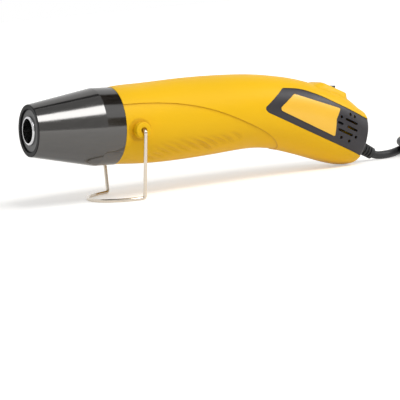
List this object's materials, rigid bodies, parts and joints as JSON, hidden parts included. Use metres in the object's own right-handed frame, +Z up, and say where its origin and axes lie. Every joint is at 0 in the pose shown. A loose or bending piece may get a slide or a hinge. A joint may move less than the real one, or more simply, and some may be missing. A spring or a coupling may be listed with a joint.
{
  "type": "embossing heat tool",
  "caption": "Handheld craft heat tool: drooping moulded handle with vented side panels, dark metal nozzle cone, folding wire stand, rear rocker switch and mains cord put away in a coil.",
  "frame": {"origin": "On the table, under the middle of the tool's length, in the mid-plane where the two shells meet; the wire foot and the table are at z = 0.", "axes": "+Z up; the nozzle points to -X, pitched 3.4 degrees nose up, and the cord leaves towards +X; -Y is the side seen in the picture."},
  "size_m": [0.3869, 0.0833, 0.0666],
  "materials": {
    "housing_plastic": "satin moulded",
    "panel_plastic": "satin",
    "badge_plate": "semi-gloss",
    "shield_metal": "dark polished",
    "rim_black": "satin black",
    "tube_metal": "brushed",
    "seal_ceramic": "matt",
    "mica": "matt",
    "element_wire": "oxidised",
    "steel_wire": "bright",
    "steel": "plain",
    "inner_plastic": "plain",
    "motor_steel": "plain",
    "board": "plain",
    "switch_black": "semi-gloss",
    "switch_frame": "plain",
    "tab_brass": "plain",
    "relief_rubber": "matt",
    "cord_rubber": "matt",
    "lead_insulation": "matt",
    "plug_plastic": "satin",
    "plug_brass": "plain"
  },
  "bodies": {
    "root": {"housing_left": "housing_plastic", "housing_right": "housing_plastic", "vent_panel_left": "panel_plastic", "vent_panel_right": "panel_plastic", "badge_left": "badge_plate", "badge_right": "badge_plate", "heat_shield": "shield_metal", "shield_rim": "rim_black", "nozzle_tube": "tube_metal", "heater_seal": "seal_ceramic", "mica_sleeve": "mica", "mica_former": "mica", "heating_coil": "element_wire", "thermal_cutout": "inner_plastic", "air_duct": "inner_plastic", "motor_mount": "inner_plastic", "fan_motor": "motor_steel", "rectifier_board": "board", "switch_body": "switch_frame", "switch_tabs": "tab_brass", "housing_screws": "steel", "strain_relief": "relief_rubber", "cord_tail": "cord_rubber", "cord_clamp": "inner_plastic", "clamp_screws": "steel", "supply_leads": "lead_insulation", "heater_leads": "lead_insulation", "cord": "cord_rubber", "cord_coil": "cord_rubber", "cord_end": "cord_rubber", "plug_body": "plug_plastic", "plug_blades": "plug_brass"},
    "stand": {"wire_stand": "steel_wire"},
    "rocker": {"switch_rocker": "switch_black"},
    "rotor": {"impeller": "inner_plastic", "fan_shaft": "steel"}
  },
  "joints": [
    {"name": "stand_fold", "type": "hinge", "parent": "root", "child": "stand", "pos_m": [-0.05707, 0, 0.0406], "axis": [0, -1, 0], "range_deg": [0, 86.5]},
    {"name": "rocker_tilt", "type": "hinge", "parent": "root", "child": "rocker", "pos_m": [0.08518, 0, 0.04941], "axis": [0, 1, 0], "range_deg": [0, 19]},
    {"name": "fan_spin", "type": "hinge", "parent": "root", "child": "rotor", "pos_m": [-0.01516, 0, 0.04004], "axis": [-0.9982, 0, 0.0593], "continuous": true}
  ]
}
